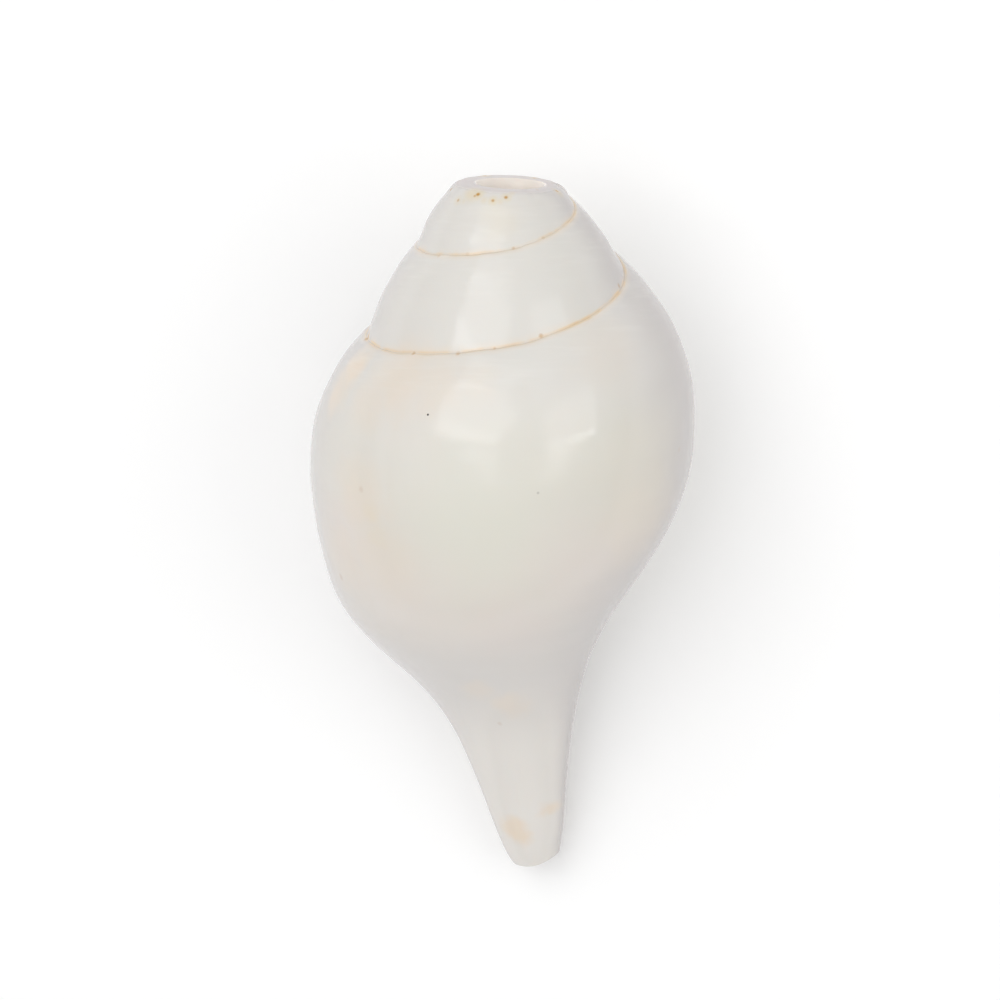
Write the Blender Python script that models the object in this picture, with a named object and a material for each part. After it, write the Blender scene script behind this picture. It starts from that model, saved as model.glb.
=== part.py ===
"""A polished blowing conch: the shell of a sacred chank, sawn off square at the apex and pierced there.

The shell is one closed solid.  It lies on its mouth, with its apex toward +Y and its canal toward -Y.

The outside is a helicoidal sweep.  A generating curve, drawn as radius against distance down the coiling
axis, turns about that axis and grows as it turns.  Angle 0 of the turn is the lip, and earlier growth has
negative angles.  The inside is the chamber between the wall of one turn and the outside of the turn
before it.  It opens at the mouth and along the canal, and the blow hole breaks into it near the apex.
All lengths below are millimetres unless a name says otherwise.
"""

import math

import bmesh
import bpy
import numpy as np
from mathutils import Matrix, Vector

METRES = 0.001
TURN = 2.0 * math.pi

# How the shell lies: the coiling axis leans so that the apex is raised and the canal tip touches down.
LEAN_DEG = 17.0
SPIN_DEG = 11.0

# Growth: each turn is this many times as wide, and starts this many times as far down, as the one before.
WIDTH_RATIO = 1.638
LEVEL_RATIO = 1.612
GROWTH = math.log(WIDTH_RATIO) / TURN
DESCENT = math.log(LEVEL_RATIO) / TURN
LIP_ANGLE_DEG = 220.0  # where the lip stands around the axis, 0 at +X and 90 on top

# Generating curve at the lip, as (radius, distance down the axis from the point where the cone would end).
SUTURE = (35.2, 56.8)
SHOULDER_SWELL = (2.3, 2.7, 2.6, 1.4)  # how far the whorl bulges out of its straight chord
BASE_KNOTS = (
    (62.0, 110.0),
    (61.3, 122.0),
    (52.7, 134.0),
    (38.9, 147.0),
    (32.4, 160.0),
    (27.1, 174.0),
    (16.0, 200.0),
)

# The last part-turn draws in a little, and the canal turns about the axis much faster than the whorls.
LAST_TURN_SHRINK = 0.215
LAST_TURN_START = 0.67
LAST_TURN_BLEND = 0.5
SHRINK_REACH = 2.05  # how far down the curve the drawing in spreads, in lengths of the shoulder
CANAL_START = 125.0
CANAL_BLEND = 6.0
CANAL_RATE = 0.129
CANAL_LEAD_IN = 12.0
CANAL_EASE_START = 165.0
CANAL_EASE_BLEND = 5.0
CANAL_EASE_RATE = 0.051
AXIAL_STOP = 178.0  # below this the canal no longer lengthens as it turns

# The lip side of the canal curls in toward the pillar.
CURL_FROM = 118.0
CURL_OVER = 47.0
CURL_TURN = 0.9
CURL_IN = 0.46
CURL_ROUND = math.radians(15.0)

# The pillar that the turns wind around.
PILLAR_SLOPE = 0.075
PILLAR_TIP = 1.7
PILLAR_TAPER = 0.055
PILLAR_LEVEL = 192.0
PILLAR_BLEND = 0.4
PILLAR_JOIN = 6.0  # the power that blends the whorls into the pillar: higher is sharper
CALLUS = 3.2
CALLUS_LEVEL = 152.0
CALLUS_SPREAD = 32.0
CALLUS_FADE = 1.5

# Ridges wound around the pillar inside the mouth.
FOLD_LEVELS = (99.0, 105.0, 111.5, 118.0)
FOLD_HEIGHTS = (1.6, 2.2, 2.2, 1.5)
FOLD_WIDTH = 1.7

# Walls.
WALL = 3.8
WALL_CANAL = 3.0
WALL_THINS_FROM = 110.0
WALL_THINS_OVER = 40.0
WALL_SCALE = 0.7  # share of the growth that the wall follows
GLAZE = 0.8
MOUTH_TURN = 0.8  # how far inside the lip the glaze and the ridges reach their full height
CORNER_GAP = 2.0
CORNER_ROUND = 0.12  # share of the chamber's height over which each corner is rounded
LIP_FADE = 16.0  # length over which the lip's edge grows out of the suture

# The canal's tip, worn round and cut off aslant.
TIP_LEVEL = 186.8
TIP_ROUND_DOWN = 14.0
TIP_ROUND_IN = 1.6
TIP_ROUND_MOST = 0.35  # of the radius
TIP_ROUND_SHARE = 0.96  # 1 would end the rounding flat
TIP_BEVEL_X = -5.2
TIP_BEVEL_BLEND = 1.0
TIP_BEVEL_SLOPE = 0.38
TIP_BEVEL_OVER = 12.0

# The apex: worn thinner, sawn off, rounded at the rim and bored through into the chamber.
SPIRE_WEAR = 0.06
SPIRE_WEAR_FROM = 27.0
SPIRE_WEAR_OVER = 8.0
CUT_LEVEL = 19.4
CUT_TILT_DEG = 9.5
CUT_SIDE_DEG = 6.5
RIM_DROP = 2.0
RIM_INSET = 3.0
RIM_STEPS = 3
BORE_RADIUS = 7.2
BORE_DEPTH = 17.0
THROAT_RADIUS = 5.5
THROAT_START = 19.0
THROAT_END = 25.0
THROAT_POINT = 2.0
BORE_SHIFT = (1.9, 2.0)
BORE_MOUTH_ROUND = 0.8
BORE_ABOVE = 4.0  # how far the cutter stands out of the rim
BORE_SEGMENTS = 32

# Fineness of the mesh.
COLUMNS = 36
ROWS_SHOULDER = 8
ROWS_LIP = 4
ROWS_BASE = 23
ROWS_TIP = (0.5, 0.85, 1.0)
CHAMBER_COLUMNS = 18
CHAMBER_TURNS = 2.35
SPIRE_TURNS = 3.4
DENSE = 400


def natural_spline(at, values):
    """A smooth curve through the given points, straight at both ends."""
    at = np.asarray(at, float)
    values = np.asarray(values, float)
    count = len(at)
    step = np.diff(at)
    matrix = np.eye(count)
    right = np.zeros_like(values)
    for i in range(1, count - 1):
        matrix[i, i - 1 : i + 2] = step[i - 1], 2.0 * (step[i - 1] + step[i]), step[i]
        right[i] = 6.0 * ((values[i + 1] - values[i]) / step[i] - (values[i] - values[i - 1]) / step[i - 1])
    bend = np.linalg.solve(matrix, right)

    def curve(t):
        t = np.asarray(t, float)
        i = np.clip(np.searchsorted(at, t) - 1, 0, count - 2)
        h = step[i][..., None]
        a = ((at[i + 1] - t)[..., None]) / h
        b = ((t - at[i])[..., None]) / h
        cubic = (a**3 - a) * bend[i] + (b**3 - b) * bend[i + 1]
        return a * values[i] + b * values[i + 1] + cubic * h**2 / 6.0

    return curve


def ease(t):
    """0 below 0, 1 above 1, and smooth between."""
    t = np.clip(t, 0.0, 1.0)
    return t**3 * (t * (6.0 * t - 15.0) + 10.0)


def soft_ramp(x, softness):
    """Zero for negative x, x for positive x, rounded at the corner."""
    return softness * np.logaddexp(0.0, x / softness)


def generating_curve():
    start = np.array(SUTURE)
    end = start * np.array([WIDTH_RATIO, LEVEL_RATIO])
    chord = end - start
    outward = np.array([chord[1], -chord[0]]) / np.hypot(*chord)
    shares = np.arange(1, len(SHOULDER_SWELL) + 1) / (len(SHOULDER_SWELL) + 1)
    bulge = [start + chord * t + outward * s for t, s in zip(shares, SHOULDER_SWELL)]
    points = np.array([start, *bulge, end, *BASE_KNOTS])
    along = np.concatenate([[0.0], np.cumsum(np.hypot(*np.diff(points, axis=0).T))])
    return natural_spline(along, points), along[len(bulge) + 1], along[-1]


CURVE, SUTURE_ARC, LAST_ARC = generating_curve()
NEXT_SUTURE_LEVEL = LEVEL_RATIO * SUTURE[1]


def pillar_radius(turn, level):
    spire_side = PILLAR_SLOPE * level
    canal_side = PILLAR_TIP + PILLAR_TAPER * (PILLAR_LEVEL - level)
    bare = spire_side - soft_ramp(spire_side - canal_side, PILLAR_BLEND)
    spread = np.exp(-(((level - CALLUS_LEVEL) / CALLUS_SPREAD) ** 2))
    return bare + CALLUS * spread * (1.0 - ease((turn + TURN) / CALLUS_FADE))


def skin(turn, arc):
    """Radius, level and extra angle of the outside, at an angle of growth and a length along the curve."""
    radius, level = np.moveaxis(CURVE(arc), -1, 0)
    past_suture = level - NEXT_SUTURE_LEVEL
    axial = 1.0 - ease(past_suture / (AXIAL_STOP - NEXT_SUTURE_LEVEL))
    canal = CANAL_RATE * soft_ramp(level - CANAL_START, CANAL_BLEND)
    canal = canal - CANAL_EASE_RATE * soft_ramp(level - CANAL_EASE_START, CANAL_EASE_BLEND)
    radial = 1.0 + canal * ease(past_suture / CANAL_LEAD_IN)
    radius = radius * np.exp(GROWTH * radial * turn)
    level = level * np.exp(DESCENT * axial * turn)
    drawn_in = 1.0 / (1.0 + np.exp(-(turn + TURN * LAST_TURN_START) / LAST_TURN_BLEND))
    radius = radius * (1.0 - LAST_TURN_SHRINK * ease(arc / (SHRINK_REACH * SUTURE_ARC)) * drawn_in)
    radius = radius * (1.0 - SPIRE_WEAR * ease((SPIRE_WEAR_FROM - level) / SPIRE_WEAR_OVER))
    curl = ease((level - CURL_FROM) / CURL_OVER) * ease(1.0 + turn / CURL_TURN)
    radius = radius * (1.0 - CURL_IN * curl)
    pillar = pillar_radius(turn, level)
    joined = (radius**PILLAR_JOIN + pillar**PILLAR_JOIN) ** (1.0 / PILLAR_JOIN)
    return joined, level, CURL_ROUND * curl


def to_axis_frame(radius, level, turn, extra=0.0):
    """Points with the coiling axis along Y, the apex toward +Y and the top of the lying shell toward +Z."""
    angle = math.radians(LIP_ANGLE_DEG) + turn + extra
    x = radius * np.cos(angle)
    z = radius * np.sin(angle)
    near_tip = ease((level - TIP_LEVEL + TIP_BEVEL_OVER) / TIP_BEVEL_OVER)
    bevel = TIP_BEVEL_SLOPE * soft_ramp(x - TIP_BEVEL_X, TIP_BEVEL_BLEND) * near_tip
    return np.stack([x, bevel - level, z], axis=-1)


def outer_points(turn, arc):
    radius, level, extra = skin(turn, arc)
    down = np.clip((level - TIP_LEVEL + TIP_ROUND_DOWN) / TIP_ROUND_DOWN, 0.0, 1.0)
    inward = np.minimum(TIP_ROUND_IN, TIP_ROUND_MOST * radius)
    radius = radius - inward * (1.0 - np.sqrt(1.0 - TIP_ROUND_SHARE * down**2))
    return to_axis_frame(radius, level, turn, extra)


def wall_curve(turn, arcs):
    """The inner face of the wall at one angle: the outside moved in by the wall's thickness."""
    radius, level, extra = skin(turn, arcs)
    slope = np.stack([np.gradient(radius, arcs), np.gradient(level, arcs)])
    slope = slope / np.hypot(*slope)
    thick = WALL + (WALL_CANAL - WALL) * ease((level - WALL_THINS_FROM) / WALL_THINS_OVER)
    thick = thick * np.exp(GROWTH * WALL_SCALE * turn)
    return radius - thick * slope[1], level + thick * slope[0], extra


def level_before_lip(arcs):
    """Levels, under the lip, of the turn that the mouth is built over."""
    return skin(np.full_like(arcs, -TURN), arcs)[1]


def floor_radius(turn, levels):
    """The chamber's inner side at one angle: the turn before, glazed over and carrying the folds."""
    arcs = np.linspace(0.0, LAST_ARC, DENSE)
    radius, level, _ = skin(turn - TURN, arcs)
    inside = ease(-turn / MOUTH_TURN)
    home = np.interp(levels, level, level_before_lip(arcs))
    found = np.interp(levels, level, radius) + GLAZE * inside * np.exp(GROWTH * turn)
    for at, height in zip(FOLD_LEVELS, FOLD_HEIGHTS):
        found = found + height * inside * np.exp(-(((home - at) / FOLD_WIDTH) ** 2))
    return found


def chamber_reach(turn):
    """Arc lengths on the wall at which the chamber starts and ends, and whether it runs out at the tip."""
    arcs = np.linspace(0.0, LAST_ARC, DENSE)
    radius, level, _ = wall_curve(turn, arcs)
    gap = radius - floor_radius(turn, level) - CORNER_GAP * math.exp(GROWTH * turn)
    first = int(np.argmax(gap > 0.0))
    last = int(np.flatnonzero((gap > 0.0) & (level < TIP_LEVEL))[-1])
    top = np.interp(0.0, gap[first - 1 : first + 1], arcs[first - 1 : first + 1])
    if gap[last + 1] > 0.0:
        return top, np.interp(TIP_LEVEL, level[last : last + 2], arcs[last : last + 2]), True
    return top, np.interp(0.0, gap[last + 1 : last - 1 : -1], arcs[last + 1 : last - 1 : -1]), False


def canal_closing_turn():
    """The angle at which the chamber stops running out at the tip."""
    low = -0.75 * TURN
    high = 0.0
    while high - low > 1e-6:
        middle = 0.5 * (low + high)
        if chamber_reach(middle)[2]:
            high = middle
        else:
            low = middle
    return high


def outer_rows():
    """Arc lengths of the rows: shoulder, where the lip's end is stuck on, then base, canal and tip."""
    arcs = np.linspace(0.0, LAST_ARC, 4 * DENSE)
    lip_level = skin(0.0, arcs)[1]
    corner_level = np.interp(chamber_reach(0.0)[0], arcs, wall_curve(0.0, arcs)[1])
    corner = np.interp(corner_level, level_before_lip(arcs), arcs)
    rounding = np.interp(TIP_LEVEL - TIP_ROUND_DOWN, lip_level, arcs)
    tip = np.interp(TIP_LEVEL, lip_level, arcs)
    shoulder = np.linspace(0.0, SUTURE_ARC, ROWS_SHOULDER + 1)
    under_lip = np.linspace(SUTURE_ARC, corner, ROWS_LIP + 1)[1:]
    base = np.linspace(corner, rounding, ROWS_BASE + 1)[1:]
    return np.concatenate([shoulder, under_lip, base, rounding + (tip - rounding) * np.array(ROWS_TIP)])


def corner_rounding(share, closed_below):
    """How far a side of the chamber has closed on the other: 1 at a corner, 0 away from it."""
    near = 1.0 - np.clip(share / CORNER_ROUND, 0.0, 1.0)
    if closed_below:
        near = np.maximum(near, 1.0 - np.clip((1.0 - share) / CORNER_ROUND, 0.0, 1.0))
    return (1.0 - np.sqrt(np.clip(1.0 - near**2, 0.0, 1.0)))[:, None]


def chamber_sides(turn, wall_shares, floor_shares, closed_below):
    """The wall side and the floor side of the chamber at one angle, each from top to bottom."""
    arcs = np.linspace(0.0, LAST_ARC, DENSE)
    top, bottom, _ = chamber_reach(turn)
    radius, level, extra = wall_curve(turn, arcs)
    ends = np.interp([top, bottom], arcs, level)
    centred = 0.5 * ease(-turn / MOUTH_TURN)

    def across(at):
        levels = np.interp(at, arcs, level)
        wall = to_axis_frame(np.interp(at, arcs, radius), levels, turn, np.interp(at, arcs, extra))
        floor = to_axis_frame(floor_radius(turn, levels), levels, turn)
        share = (levels - ends[0]) / (ends[1] - ends[0])
        return wall, floor, corner_rounding(share, closed_below)

    wall, floor, close = across(top + (bottom - top) * wall_shares)
    wall_side = wall + (floor - wall) * close * (1.0 - centred)
    within = (arcs >= top - arcs[1]) & (arcs <= bottom + arcs[1])
    levels = ends[0] + (ends[1] - ends[0]) * floor_shares
    wall, floor, close = across(np.interp(levels, level[within], arcs[within]))
    floor_side = floor + (wall - floor) * close * centred
    return wall_side, floor_side


class Surface:
    """Vertices and faces of one mesh, in millimetres."""

    def __init__(self):
        self.points = []
        self.faces = []

    def add(self, points):
        first = len(self.points)
        self.points.extend(np.asarray(points, float).reshape(-1, 3))
        return list(range(first, len(self.points)))

    def strip(self, left, right):
        """Quads between two rows of vertices of the same length."""
        for k in range(len(left) - 1):
            self.face(left[k], left[k + 1], right[k + 1], right[k])

    def half_strip(self, fine, coarse):
        """Faces between a row of vertices and one with half as many steps."""
        for k in range(len(coarse) - 1):
            self.face(fine[2 * k], fine[2 * k + 1], coarse[k])
            self.face(fine[2 * k + 1], fine[2 * k + 2], coarse[k + 1], coarse[k])

    def face(self, *corners):
        kept = tuple(dict.fromkeys(corners))
        if len(kept) > 2:
            self.faces.append(kept)


def add_outside(surface, rows):
    """The outside, column by column from the lip back; a whorl's top row is the row below the one before."""
    count = round(SPIRE_TURNS * COLUMNS)
    columns = {}
    for i in range(count, -1, -1):
        reach = len(rows) if i <= COLUMNS else ROWS_SHOULDER + 1
        points = outer_points(-TURN * i / COLUMNS, rows[:reach])
        shared = columns.get(i + COLUMNS)
        if shared:
            columns[i] = [shared[ROWS_SHOULDER]] + surface.add(points[1:])
        else:
            columns[i] = surface.add(points)
    for i in range(count):
        reach = len(rows) if i < COLUMNS else ROWS_SHOULDER + 1
        surface.strip(columns[i][:reach], columns[i + 1][:reach])
    return columns


def add_lip(surface, outside, wall_side):
    """The rounded edge of the lip, between the outside and the inside of the wall."""
    lip = outside[0]
    attached = outside[COLUMNS][ROWS_SHOULDER:]
    outer = np.array([surface.points[k] for k in lip])
    share = np.arange(len(lip)) / 2.0
    inner = np.stack([np.interp(share, np.arange(len(wall_side)), wall_side[:, k]) for k in range(3)], 1)
    ahead = outer - outer_points(-TURN / 360.0, OUTER_ROWS)
    ahead = ahead / np.linalg.norm(ahead, axis=1, keepdims=True)
    thick = np.linalg.norm(inner - outer, axis=1, keepdims=True)
    thick = thick * ease(OUTER_ROWS / LIP_FADE)[:, None]
    before = lip
    for m in range(1, ROWS_LIP):
        angle = math.pi * m / ROWS_LIP
        across = outer + (inner - outer) * 0.5 * (1.0 - math.cos(angle))
        bulged = across + ahead * thick * 0.5 * math.sin(angle)
        column = [attached[m]] + surface.add(bulged[1:])
        surface.strip(before, column)
        before = column
        yield column[-1]
    inner_column = [attached[ROWS_LIP]] + surface.add(wall_side[1:])
    surface.half_strip(before, inner_column)
    yield inner_column


def add_chamber(surface, outside, rows):
    """The chamber from the mouth back to its blind end, and the flat end of the canal."""
    closing = canal_closing_turn()
    step = TURN / CHAMBER_COLUMNS
    open_turns = np.linspace(0.0, closing, round(-closing / step) + 1)
    deep = round((CHAMBER_TURNS * TURN + closing) / step)
    turns = np.concatenate([open_turns, np.linspace(closing, -CHAMBER_TURNS * TURN, deep + 1)[1:]])
    levels = level_before_lip(rows[ROWS_SHOULDER + ROWS_LIP :])
    floor_shares = (levels - levels[0]) / (levels[-1] - levels[0])
    wall_shares = rows[::2] / rows[-1]

    wall_side, _ = chamber_sides(0.0, wall_shares, floor_shares, False)
    *lip_ends, wall = add_lip(surface, outside, wall_side)
    floor = outside[COLUMNS][ROWS_SHOULDER + ROWS_LIP :]
    end_walls = [wall[-1]]
    end_floors = []
    for k, turn in enumerate(turns[1:], 1):
        closed = k >= len(open_turns) - 1
        wall_side, floor_side = chamber_sides(turn, wall_shares, floor_shares, closed)
        new_wall = surface.add(wall_side)
        if closed:
            new_floor = [new_wall[0]] + surface.add(floor_side[1:-1]) + [new_wall[-1]]
        else:
            new_floor = [new_wall[0]] + surface.add(floor_side[1:])
            end_floors.append(new_floor[-1])
        if k < len(open_turns):
            end_walls.append(new_wall[-1])
        surface.strip(wall, new_wall)
        surface.strip(floor, new_floor)
        wall = new_wall
        floor = new_floor
    surface.face(*wall, *floor[-2:0:-1])
    end_outside = [outside[i][-1] for i in range(COLUMNS, -1, -1)]
    surface.face(*end_outside, *lip_ends, *end_walls, *end_floors[::-1])


def cut_frame():
    """Where the apex is sawn off: the frame's +Z is the cut's outward normal, its origin is on the axis."""
    tilt = Matrix.Rotation(math.radians(-90.0 - CUT_TILT_DEG), 4, "X")
    side = Matrix.Rotation(math.radians(-CUT_SIDE_DEG), 4, "Z")
    return Matrix.Translation((0.0, -CUT_LEVEL, 0.0)) @ side @ tilt


def saw_apex(mesh):
    """Cut the apex off, round the rim and close the top with one flat face."""
    frame = cut_frame()
    normal = (frame.to_3x3() @ Vector((0.0, 0.0, 1.0))).normalized()
    centre = frame.translation
    bmesh.ops.bisect_plane(
        mesh,
        geom=[*mesh.verts, *mesh.edges, *mesh.faces],
        dist=1e-5,
        plane_co=centre - normal * RIM_DROP,
        plane_no=normal,
        clear_outer=True,
    )
    edges = [edge for edge in mesh.edges if edge.is_boundary]
    start = {vert: vert.co.copy() for edge in edges for vert in edge.verts}
    middle = sum(start.values(), Vector()) / len(start)
    for step in range(1, RIM_STEPS + 1):
        below = set(start)
        made = bmesh.ops.extrude_edge_only(mesh, edges=edges)["geom"]
        edges = [item for item in made if isinstance(item, bmesh.types.BMEdge) and item.is_boundary]
        angle = 0.5 * math.pi * step / RIM_STEPS
        raised = {}
        for vert in [item for item in made if isinstance(item, bmesh.types.BMVert)]:
            source = next(edge.other_vert(vert) for edge in vert.link_edges if edge.other_vert(vert) in below)
            raised[vert] = start[source]
        for vert, origin in raised.items():
            inward = (middle - origin).normalized()
            inset = RIM_INSET * (1.0 - math.cos(angle))
            vert.co = origin + inset * inward + RIM_DROP * math.sin(angle) * normal
        start = raised
    bmesh.ops.contextual_create(mesh, geom=edges)


def shell_mesh():
    surface = Surface()
    outside = add_outside(surface, OUTER_ROWS)
    add_chamber(surface, outside, OUTER_ROWS)
    mesh = bmesh.new()
    verts = [mesh.verts.new(point) for point in surface.points]
    for corners in surface.faces:
        mesh.faces.new([verts[k] for k in corners])
    loose = [vert for vert in mesh.verts if not vert.link_faces]
    bmesh.ops.delete(mesh, geom=loose, context="VERTS")
    saw_apex(mesh)
    bmesh.ops.recalc_face_normals(mesh, faces=mesh.faces)
    bmesh.ops.triangulate(mesh, faces=mesh.faces)
    return mesh


def bore_mesh():
    """The blow hole's cutter: a bore with a rounded mouth, and a narrower throat that opens into the chamber."""
    mouth = [math.radians(90.0 * k / 4) for k in range(5)]
    profile = [(0.0, BORE_ABOVE), (BORE_RADIUS + BORE_MOUTH_ROUND, BORE_ABOVE)]
    for angle in mouth:
        radius = BORE_RADIUS + BORE_MOUTH_ROUND * (1.0 - math.sin(angle))
        profile.append((radius, -BORE_MOUTH_ROUND * (1.0 - math.cos(angle))))
    profile.append((BORE_RADIUS, -BORE_DEPTH))
    profile.append((THROAT_RADIUS, -THROAT_START))
    profile.append((THROAT_RADIUS, -THROAT_END))
    profile.append((0.0, -THROAT_END - THROAT_POINT))
    mesh = bmesh.new()
    verts = [mesh.verts.new((radius, 0.0, height)) for radius, height in profile]
    edges = [mesh.edges.new(pair) for pair in zip(verts, verts[1:])]
    bmesh.ops.spin(
        mesh,
        geom=[*verts, *edges],
        cent=(0.0, 0.0, 0.0),
        axis=(0.0, 0.0, 1.0),
        angle=TURN,
        steps=BORE_SEGMENTS,
        use_merge=True,
    )
    bmesh.ops.remove_doubles(mesh, verts=mesh.verts, dist=1e-4)
    bmesh.ops.recalc_face_normals(mesh, faces=mesh.faces)
    shifted = cut_frame() @ Matrix.Translation((*BORE_SHIFT, 0.0))
    bmesh.ops.transform(mesh, matrix=shifted, verts=mesh.verts)
    return mesh


def shell_material():
    material = bpy.data.materials.new("polished shell")
    material.use_nodes = True
    surface = material.node_tree.nodes["Principled BSDF"]
    surface.inputs["Base Color"].default_value = (0.80, 0.765, 0.70, 1.0)
    surface.inputs["Roughness"].default_value = 0.28
    surface.inputs["Metallic"].default_value = 0.0
    return material


def add_object(name, bm, frame):
    bmesh.ops.transform(bm, matrix=frame, verts=bm.verts)
    mesh = bpy.data.meshes.new(name)
    bm.to_mesh(mesh)
    bm.free()
    item = bpy.data.objects.new(name, mesh)
    bpy.context.scene.collection.objects.link(item)
    return item


def lying_frame(mesh):
    """Puts the shell on its mouth, in metres, with the bottom centre of its box at the origin."""
    lean = Matrix.Rotation(math.radians(LEAN_DEG), 4, "X")
    spin = Matrix.Rotation(math.radians(SPIN_DEG), 4, "Y")
    turned = lean @ spin
    points = np.array([turned @ vert.co for vert in mesh.verts])
    low = points.min(axis=0)
    high = points.max(axis=0)
    ground = Vector((-0.5 * (low[0] + high[0]), -0.5 * (low[1] + high[1]), -low[2]))
    return Matrix.Scale(METRES, 4) @ Matrix.Translation(ground) @ turned


OUTER_ROWS = outer_rows()


def main():
    for item in list(bpy.data.objects):
        bpy.data.objects.remove(item)
    mesh = shell_mesh()
    frame = lying_frame(mesh)
    shell = add_object("conch_shell", mesh, frame)
    shell.data.materials.append(shell_material())
    shell.data.shade_smooth()
    shell.data.set_sharp_from_angle(angle=math.radians(40.0))
    bore = add_object("blow_hole_cutter", bore_mesh(), frame)
    bore.hide_render = True
    bore.display_type = "WIRE"
    cut = shell.modifiers.new("blow hole", "BOOLEAN")
    cut.operation = "DIFFERENCE"
    cut.solver = "EXACT"
    cut.object = bore


main()
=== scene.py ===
"""Looks for the polished blowing conch: its fine surface, its finish, the floor, the lights and the camera.

The shell's shape follows the same rules as its solid, worked out here on a much finer grid and with forms
that the solid leaves out or has plainer: the step, the wave and the shift of the sutures, the unevenness of
a surface polished by hand, the deeper rounding of the sawn rim and the funnelled mouth of the blow hole.
Lengths are millimetres in the shell's own axes (coiling axis along Y, apex toward +Y) until lying_frame
turns them into the model's metres.  The floor, the lights and the scales of the finish are in metres.
"""

import math

import bmesh
import bpy
import numpy as np
from mathutils import Matrix, Vector, noise


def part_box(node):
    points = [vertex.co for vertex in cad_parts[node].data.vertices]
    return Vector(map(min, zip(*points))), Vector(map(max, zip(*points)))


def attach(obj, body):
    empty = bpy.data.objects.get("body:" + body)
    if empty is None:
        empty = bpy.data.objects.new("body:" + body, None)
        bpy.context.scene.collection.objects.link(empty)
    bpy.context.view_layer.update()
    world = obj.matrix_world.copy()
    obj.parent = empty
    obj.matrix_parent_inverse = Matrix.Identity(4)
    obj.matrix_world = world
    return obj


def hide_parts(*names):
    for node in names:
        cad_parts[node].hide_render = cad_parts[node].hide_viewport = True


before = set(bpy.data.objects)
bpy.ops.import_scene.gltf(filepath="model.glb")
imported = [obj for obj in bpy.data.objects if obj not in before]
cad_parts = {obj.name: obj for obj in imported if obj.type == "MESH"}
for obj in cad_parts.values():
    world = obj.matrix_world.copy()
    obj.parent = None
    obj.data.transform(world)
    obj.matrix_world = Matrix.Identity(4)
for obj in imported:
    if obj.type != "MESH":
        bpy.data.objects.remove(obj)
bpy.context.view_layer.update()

METRES = 0.001
TURN = 2.0 * math.pi

# How the shell lies: the coiling axis leans so that the apex is raised and the canal tip touches down.
LEAN_DEG = 17.0
SPIN_DEG = 11.0

# Growth: each turn is this many times as wide, and starts this many times as far down, as the one before.
WIDTH_RATIO = 1.638
LEVEL_RATIO = 1.612
GROWTH = math.log(WIDTH_RATIO) / TURN
DESCENT = math.log(LEVEL_RATIO) / TURN
LIP_ANGLE_DEG = 220.0  # where the lip stands around the axis, 0 at +X and 90 on top

# Generating curve at the lip, as (radius, distance down the axis from the point where the cone would end).
# A least-squares fit made outside this script gave SUTURE, SHOULDER_SWELL, the radii of BASE_KNOTS, both
# ratios above, and below LAST_TURN_SHRINK and _START, SHRINK_REACH, CANAL_START and _RATE, CANAL_EASE_RATE.
SUTURE = (35.2, 56.8)
SHOULDER_SWELL = (2.3, 2.7, 2.6, 1.4)  # how far the whorl bulges out of its straight chord
BASE_KNOTS = (
    (62.0, 110.0),
    (61.3, 122.0),
    (52.7, 134.0),
    (38.9, 147.0),
    (32.4, 160.0),
    (27.1, 174.0),
    (16.0, 200.0),
)

# The last part-turn draws in a little, and the canal turns about the axis much faster than the whorls.
LAST_TURN_SHRINK = 0.215
LAST_TURN_START = 0.67
LAST_TURN_BLEND = 0.5
SHRINK_REACH = 2.05  # how far down the curve the drawing in spreads, in lengths of the shoulder
CANAL_START = 125.0
CANAL_BLEND = 6.0
CANAL_RATE = 0.129
CANAL_LEAD_IN = 12.0
CANAL_EASE_START = 165.0
CANAL_EASE_BLEND = 5.0
CANAL_EASE_RATE = 0.051
AXIAL_STOP = 178.0  # below this the canal no longer lengthens as it turns

# The lip side of the canal curls in toward the pillar.
CURL_FROM = 118.0
CURL_OVER = 47.0
CURL_TURN = 0.9
CURL_IN = 0.46
CURL_ROUND = math.radians(15.0)

# The pillar that the turns wind around.
PILLAR_SLOPE = 0.075
PILLAR_TIP = 1.7
PILLAR_TAPER = 0.055
PILLAR_LEVEL = 192.0
PILLAR_BLEND = 0.4
PILLAR_JOIN = 6.0  # the power that blends the whorls into the pillar: higher is sharper
CALLUS = 3.2
CALLUS_LEVEL = 152.0
CALLUS_SPREAD = 32.0
CALLUS_FADE = 1.5

# Ridges wound around the pillar inside the mouth.
FOLD_LEVELS = (99.0, 105.0, 111.5, 118.0)
FOLD_HEIGHTS = (1.6, 2.2, 2.2, 1.5)
FOLD_WIDTH = 1.7

# Walls.
WALL = 3.8
WALL_CANAL = 3.0
WALL_THINS_FROM = 110.0
WALL_THINS_OVER = 40.0
WALL_SCALE = 0.7  # share of the growth that the wall follows
GLAZE = 0.8
MOUTH_TURN = 0.8  # how far inside the lip the glaze and the ridges reach their full height
CORNER_GAP = 2.0
CORNER_ROUND = 0.12  # share of the chamber's height over which each corner is rounded
LIP_FADE = 16.0  # length over which the lip's edge grows out of the suture

# The canal's tip, worn round and cut off aslant.
TIP_LEVEL = 186.8
TIP_ROUND_DOWN = 14.0
TIP_ROUND_IN = 1.6
TIP_ROUND_MOST = 0.35  # of the radius
TIP_ROUND_SHARE = 0.96  # 1 would end the rounding flat
TIP_BEVEL_X = -5.2
TIP_BEVEL_BLEND = 1.0
TIP_BEVEL_SLOPE = 0.38
TIP_BEVEL_OVER = 12.0

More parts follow.
